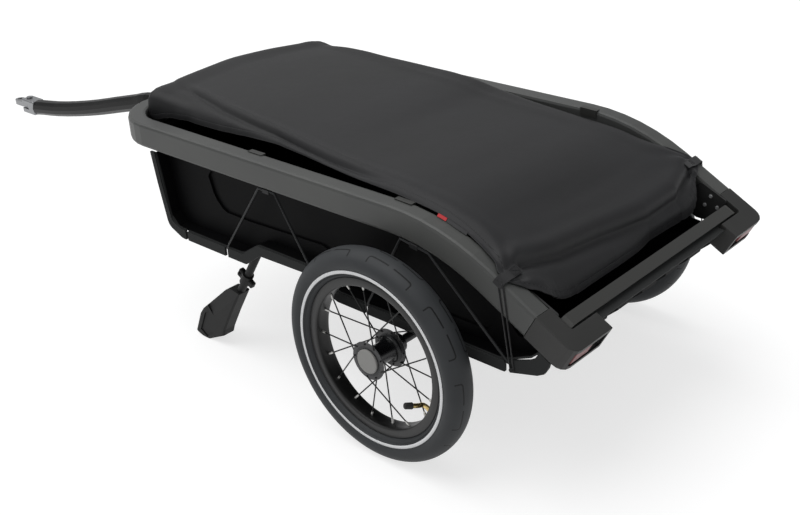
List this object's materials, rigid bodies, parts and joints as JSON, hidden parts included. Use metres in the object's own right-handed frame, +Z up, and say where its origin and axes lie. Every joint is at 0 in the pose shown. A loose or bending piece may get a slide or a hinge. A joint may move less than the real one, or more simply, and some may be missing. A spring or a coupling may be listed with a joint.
{
  "type": "bike cargo trailer",
  "caption": "Bicycle cargo trailer: plastic tub hung in a bent rail frame under a fabric cover, spoked wheels on a beam, folding stand and side drawbar.",
  "frame": {"origin": "on the ground, below the middle of the bounding box", "axes": "+X forward towards the bicycle, +Y to the left, the side with the stand and the drawbar, +Z up"},
  "size_m": [1.8534, 0.7942, 0.5055],
  "materials": {
    "rail_grey": "grey powder coat",
    "cap_plastic": "moulded, dark grey",
    "bar_grey": "satin grey",
    "lens_red": "translucent red",
    "tub_plastic": "textured, near black",
    "cover_fabric": "coated weave, dark grey",
    "webbing": "dark webbing",
    "elastic": "braided, dark grey",
    "rod_grey": "dull grey",
    "black_rubber": "matt black",
    "steel": "zinc plated",
    "button_grey": "light grey",
    "tyre_rubber": "dark grey",
    "reflective_band": "reflective, light grey",
    "rim_black": "black anodised",
    "hub_black": "black anodised",
    "brass": "plain",
    "drawbar_grey": "satin grey anodised",
    "stand_grey": "grey"
  },
  "bodies": {
    "frame": {"axle_beam": "rod_grey", "axle_bracket_left": "rod_grey", "axle_bracket_right": "rod_grey", "axle_pin_left": "steel", "axle_pin_right": "steel", "cover": "cover_fabric", "cover_tab_left": "webbing", "cover_tab_right": "webbing", "cross_bar": "bar_grey", "drawbar": "drawbar_grey", "drawbar_socket": "rail_grey", "elastic_loop_left": "elastic", "elastic_loop_right": "elastic", "front_clip_left": "bar_grey", "front_clip_right": "bar_grey", "front_stay_left": "rod_grey", "front_stay_right": "rod_grey", "front_stay_saddle_left": "black_rubber", "front_stay_saddle_right": "black_rubber", "hitch_fork": "steel", "hitch_pin": "steel", "rear_cap_left": "cap_plastic", "rear_cap_right": "cap_plastic", "rear_clip_left": "bar_grey", "rear_clip_right": "bar_grey", "rear_hanger_left": "rail_grey", "rear_hanger_right": "rail_grey", "rear_stay_left": "rod_grey", "rear_stay_right": "rod_grey", "rear_stay_saddle_left": "black_rubber", "rear_stay_saddle_right": "black_rubber", "reflector_left": "lens_red", "reflector_right": "lens_red", "stand_bracket": "stand_grey", "stand_pin": "steel", "top_rail": "rail_grey", "tub": "tub_plastic"},
    "wheel_left": {"tyre_left": "tyre_rubber", "reflective_band_left": "reflective_band", "rim_left": "rim_black", "hub_left": "hub_black", "outer_bearing_left": "steel", "inner_bearing_left": "steel", "valve_left": "brass", "valve_cap_left": "black_rubber"},
    "release_button_left": {"release_button_left": "button_grey"},
    "wheel_right": {"tyre_right": "tyre_rubber", "reflective_band_right": "reflective_band", "rim_right": "rim_black", "hub_right": "hub_black", "outer_bearing_right": "steel", "inner_bearing_right": "steel", "valve_right": "brass", "valve_cap_right": "black_rubber"},
    "release_button_right": {"release_button_right": "button_grey"},
    "stand": {"stand_leg": "stand_grey", "stand_collar": "stand_grey", "stand_foot": "stand_grey"},
    "drawbar_lock_pin": {"drawbar_lock_pin": "steel"},
    "hitch_tongue": {"hitch_tongue": "steel"}
  },
  "joints": [
    {"name": "wheel_left_spin", "type": "hinge", "parent": "frame", "child": "wheel_left", "pos_m": [-0.55029, 0.364, 0.205], "axis": [0, 1, 0], "continuous": true},
    {"name": "wheel_right_spin", "type": "hinge", "parent": "frame", "child": "wheel_right", "pos_m": [-0.55029, -0.364, 0.205], "axis": [0, 1, 0], "continuous": true},
    {"name": "release_button_left_press", "type": "slide", "parent": "frame", "child": "release_button_left", "axis": [0, -1, 0], "range_m": [0, 0.003], "stiffness_N_per_m": 500, "springref_m": -0.003},
    {"name": "release_button_right_press", "type": "slide", "parent": "frame", "child": "release_button_right", "axis": [0, 1, 0], "range_m": [0, 0.003], "stiffness_N_per_m": 500, "springref_m": -0.003},
    {"name": "stand_fold", "type": "hinge", "parent": "frame", "child": "stand", "pos_m": [-0.15769, 0.288, 0.259], "axis": [0, 1, 0], "range_deg": [0, 110]},
    {"name": "drawbar_lock_pin_pull", "type": "slide", "parent": "frame", "child": "drawbar_lock_pin", "axis": [0, 0, -1], "range_m": [0, 0.018], "stiffness_N_per_m": 400, "springref_m": -0.004},
    {"name": "hitch_tongue_turn", "type": "hinge", "parent": "frame", "child": "hitch_tongue", "pos_m": [0.86471, 0.154, 0.325], "axis": [0, 0, 1], "range_deg": [-70, 70]}
  ]
}
